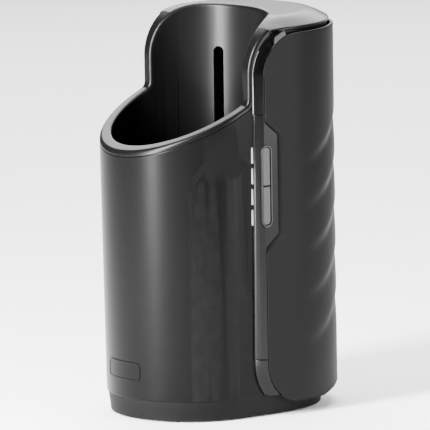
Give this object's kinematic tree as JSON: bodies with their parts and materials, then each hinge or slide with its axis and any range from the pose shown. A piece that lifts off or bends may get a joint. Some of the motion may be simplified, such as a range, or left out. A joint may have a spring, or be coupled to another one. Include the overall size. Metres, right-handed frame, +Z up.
{
  "type": "bottle chiller",
  "caption": "Countertop thermoelectric bottle chiller: open slanted round well in front of a finned cooling tower with side panels and push buttons.",
  "frame": {"origin": "middle of the footprint's bounding box, on the surface that the feet rest on", "axes": "+Z up, -Y towards the front of the well, +X towards the side with the buttons"},
  "size_m": [0.1236, 0.1556, 0.253],
  "materials": {
    "shell": "fine satin moulded",
    "liner": "satin moulded",
    "panel": "fine matte texture",
    "gloss_trim": "piano black gloss",
    "base": "matte moulded",
    "button": "soft matte",
    "bezel": "satin gloss edge",
    "light_pipe": "milky clear moulded",
    "rubber": "moulded rubber",
    "foam": "closed cell foam",
    "heat_sink": "extruded, mill finish",
    "ceramic": "white ceramic plates",
    "fan": "moulded",
    "inner_plastic": "moulded",
    "screw": "zinc plated",
    "board": "solder mask",
    "component": "moulded",
    "capacitor": "drawn can",
    "copper": "enamelled winding",
    "lead": "insulated wire"
  },
  "bodies": {
    "housing": {"outer_shell": "shell", "well_liner": "liner", "floor_pad": "rubber", "insulation_jacket": "foam", "base_tray": "base", "feet": "rubber", "base_screws": "screw", "side_panel_right": "panel", "side_panel_left": "panel", "trim_strip_right": "gloss_trim", "trim_strip_left": "gloss_trim", "rear_cover": "panel", "badge_plate": "shell", "button_bezel": "bezel", "tact_switches": "component", "control_board": "board", "status_leds": "light_pipe", "light_pipes": "light_pipe", "cold_duct": "inner_plastic", "cold_sink": "heat_sink", "cold_fan_frame": "fan", "thermoelectric_module": "ceramic", "module_gasket": "foam", "hot_sink": "heat_sink", "hot_fan_frame": "fan", "hot_fan_screws": "screw", "clamp_screws": "screw", "thermistor": "component", "main_board": "board", "board_capacitors": "capacitor", "board_inductor": "copper", "board_transistors": "component", "board_connectors": "component", "dc_inlet": "component", "inlet_lead": "lead", "module_lead": "lead", "control_lead": "lead"},
    "power_button": {"power_button": "button"},
    "mode_button": {"mode_button": "button"},
    "hot_fan_rotor": {"hot_fan_rotor": "fan"},
    "cold_fan_rotor": {"cold_fan_rotor": "fan"}
  },
  "joints": [
    {"name": "power_button_press", "type": "slide", "parent": "housing", "child": "power_button", "axis": [-1, 0, 0], "range_m": [0, 0.0008], "stiffness_N_per_m": 2000, "springref_m": -0.0002},
    {"name": "mode_button_press", "type": "slide", "parent": "housing", "child": "mode_button", "axis": [-1, 0, 0], "range_m": [0, 0.0008], "stiffness_N_per_m": 2000, "springref_m": -0.0002},
    {"name": "hot_fan_spin", "type": "hinge", "parent": "housing", "child": "hot_fan_rotor", "pos_m": [0, 0.05964, 0.17], "axis": [0, 1, 0], "continuous": true},
    {"name": "cold_fan_spin", "type": "hinge", "parent": "housing", "child": "cold_fan_rotor", "pos_m": [0, 0.03724, 0.107], "axis": [0, 1, 0], "continuous": true}
  ]
}
